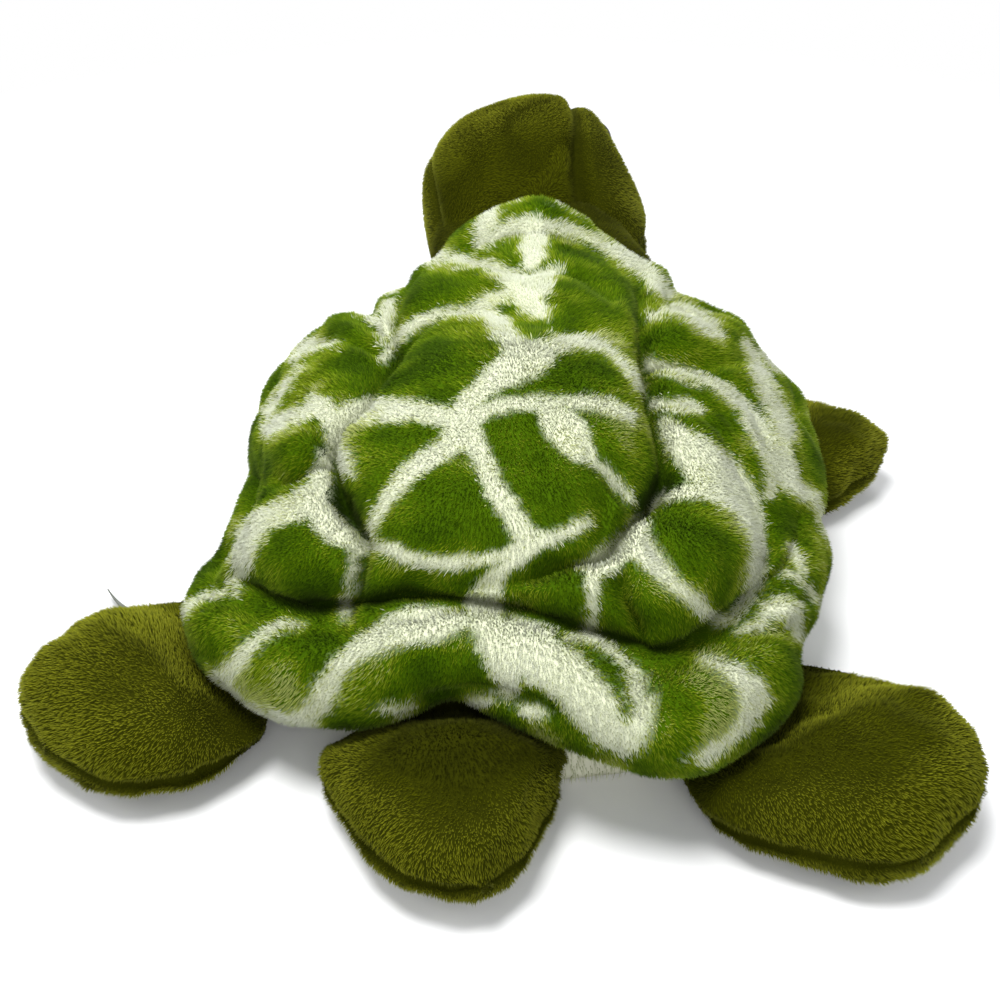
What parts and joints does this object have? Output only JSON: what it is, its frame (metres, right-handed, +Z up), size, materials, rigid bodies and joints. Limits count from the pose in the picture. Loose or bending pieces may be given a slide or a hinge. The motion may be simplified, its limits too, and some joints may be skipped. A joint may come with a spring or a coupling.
{
  "type": "stuffed toy turtle",
  "caption": "Plush sea turtle lying on its belly, with a padded printed shell, a soft rim, a round head and floppy flippers and tail.",
  "frame": {"origin": "in the flat patch of belly that the toy rests on, under the middle of the shell", "axes": "+Z up, +Y towards the tail, +X towards the turtle's own left side"},
  "size_m": [0.4729, 0.639, 0.1658],
  "materials": {
    "olive_plush": "short pile",
    "printed_shell_plush": "short pile, green with printed cream veins",
    "cream_plush": "short pile",
    "black_plastic": "gloss",
    "white_plastic": "satin",
    "polyester_filling": "loose fibre",
    "satin_ribbon": "satin"
  },
  "bodies": {
    "shell": {"rim_cover": "printed_shell_plush", "rim_stuffing": "polyester_filling", "shell_middle_panel": "printed_shell_plush", "shell_left_panel": "printed_shell_plush", "shell_right_panel": "printed_shell_plush", "belly_panel": "cream_plush", "body_stuffing": "polyester_filling", "side_label": "satin_ribbon"},
    "neck": {"neck_cover": "olive_plush", "neck_stuffing": "polyester_filling"},
    "head": {"head_crown_panel": "olive_plush", "head_left_panel": "olive_plush", "head_right_panel": "olive_plush", "head_chin_panel": "olive_plush", "head_stuffing": "polyester_filling", "eye_left": "black_plastic", "eye_right": "black_plastic", "eye_washer_left": "white_plastic", "eye_washer_right": "white_plastic"},
    "front_left_flipper": {"front_left_flipper_upper_panel": "olive_plush", "front_left_flipper_lower_panel": "olive_plush", "front_left_flipper_stuffing": "polyester_filling"},
    "front_right_flipper": {"front_right_flipper_upper_panel": "olive_plush", "front_right_flipper_lower_panel": "olive_plush", "front_right_flipper_stuffing": "polyester_filling"},
    "rear_left_flipper": {"rear_left_flipper_upper_panel": "olive_plush", "rear_left_flipper_lower_panel": "olive_plush", "rear_left_flipper_stuffing": "polyester_filling"},
    "rear_right_flipper": {"rear_right_flipper_upper_panel": "olive_plush", "rear_right_flipper_lower_panel": "olive_plush", "rear_right_flipper_stuffing": "polyester_filling"},
    "tail": {"tail_upper_panel": "olive_plush", "tail_lower_panel": "olive_plush", "tail_stuffing": "polyester_filling"}
  },
  "joints": [
    {"name": "neck_nod", "type": "hinge", "parent": "shell", "child": "neck", "pos_m": [0.0201, -0.17857, 0.058], "axis": [1, 0, 0], "range_deg": [-10, 12], "stiffness_Nm_per_rad": 2.4, "springref_deg": -1.72},
    {"name": "head_turn", "type": "hinge", "parent": "neck", "child": "head", "pos_m": [0.0201, -0.17857, 0.058], "axis": [0, 0, 1], "range_deg": [-12, 12], "stiffness_Nm_per_rad": 1.2},
    {"name": "front_left_flipper_fold", "type": "hinge", "parent": "shell", "child": "front_left_flipper", "pos_m": [0.09539, -0.10969, 0.013], "axis": [0.6709, 0.7416, 0], "range_deg": [-10, 35]},
    {"name": "front_right_flipper_fold", "type": "hinge", "parent": "shell", "child": "front_right_flipper", "pos_m": [-0.10143, -0.1026, 0.013], "axis": [0.5596, -0.8288, 0], "range_deg": [-10, 35]},
    {"name": "rear_left_flipper_fold", "type": "hinge", "parent": "shell", "child": "rear_left_flipper", "pos_m": [0.11459, 0.08923, 0.013], "axis": [-0.5497, 0.8354, 0], "range_deg": [-6, 35]},
    {"name": "rear_right_flipper_fold", "type": "hinge", "parent": "shell", "child": "rear_right_flipper", "pos_m": [-0.10336, 0.09589, 0.013], "axis": [-0.3773, -0.9261, 0], "range_deg": [-6, 35]},
    {"name": "tail_fold", "type": "hinge", "parent": "shell", "child": "tail", "pos_m": [0.01681, 0.12043, 0.013], "axis": [-0.9999, -0.0148, 0], "range_deg": [-8, 30]}
  ]
}
